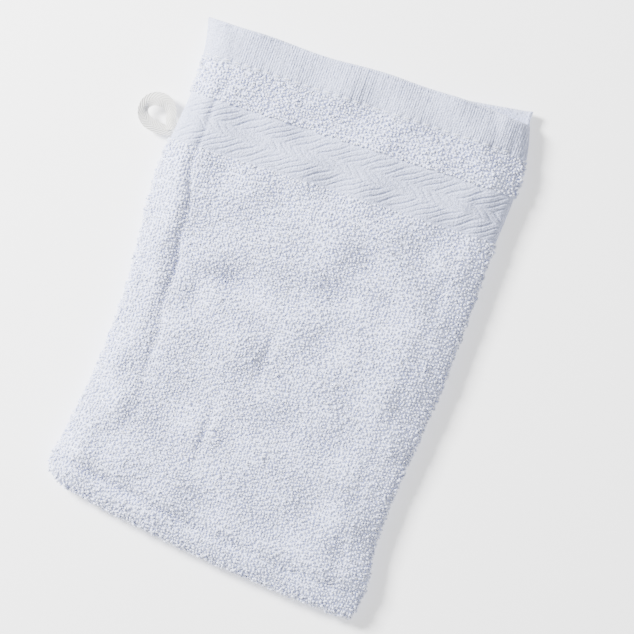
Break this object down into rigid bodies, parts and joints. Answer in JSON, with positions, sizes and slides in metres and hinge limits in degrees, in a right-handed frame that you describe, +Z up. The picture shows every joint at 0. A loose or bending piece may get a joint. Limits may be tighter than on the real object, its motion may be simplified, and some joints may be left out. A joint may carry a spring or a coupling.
{
  "type": "wash mitt",
  "caption": "Flat terry towelling wash mitt with a hemmed open mouth, a dobby border and a small hanging loop in one side seam.",
  "frame": {"origin": "on the flat underside of the back panel, halfway along the mitt and halfway across it", "axes": "+Z up through both panels, +Y along the mitt to its mouth, +X across it, away from the hanging loop"},
  "size_m": [0.1711, 0.233, 0.0145],
  "materials": {
    "terry_towelling": "white looped cotton pile, matt",
    "dobby_border_cloth": "white flat weave with raised slanting floats, slight sheen",
    "hem_cloth": "white fine ribbed flat weave, matt",
    "sewing_thread": "white spun polyester thread",
    "woven_tape": "off-white flat cotton tape"
  },
  "bodies": {
    "back": {"back_dobby_border": "dobby_border_cloth", "back_hem": "hem_cloth", "back_hem_stitching": "sewing_thread", "back_hem_turn_in": "hem_cloth", "back_terry_band": "terry_towelling", "back_terry_field": "terry_towelling", "end_overlock_thread": "sewing_thread", "end_seam_allowance": "terry_towelling", "left_overlock_thread": "sewing_thread", "left_seam_allowance": "terry_towelling", "right_overlock_thread": "sewing_thread", "right_seam_allowance": "terry_towelling", "tape_tails": "woven_tape"},
    "front": {"front_dobby_border": "dobby_border_cloth", "front_hem": "hem_cloth", "front_hem_stitching": "sewing_thread", "front_hem_turn_in": "hem_cloth", "front_terry_band": "terry_towelling", "front_terry_field": "terry_towelling"},
    "hanging_loop": {"hanging_tape": "woven_tape"}
  },
  "joints": [
    {"name": "mouth_opening", "type": "hinge", "parent": "back", "child": "front", "pos_m": [0, -0.11725, 0.00415], "axis": [1, 0, 0], "range_deg": [0, 6.5]},
    {"name": "loop_swing", "type": "hinge", "parent": "back", "child": "hanging_loop", "pos_m": [-0.07356, 0.06, 0.00415], "axis": [0, 1, 0], "range_deg": [-85, 85]}
  ]
}
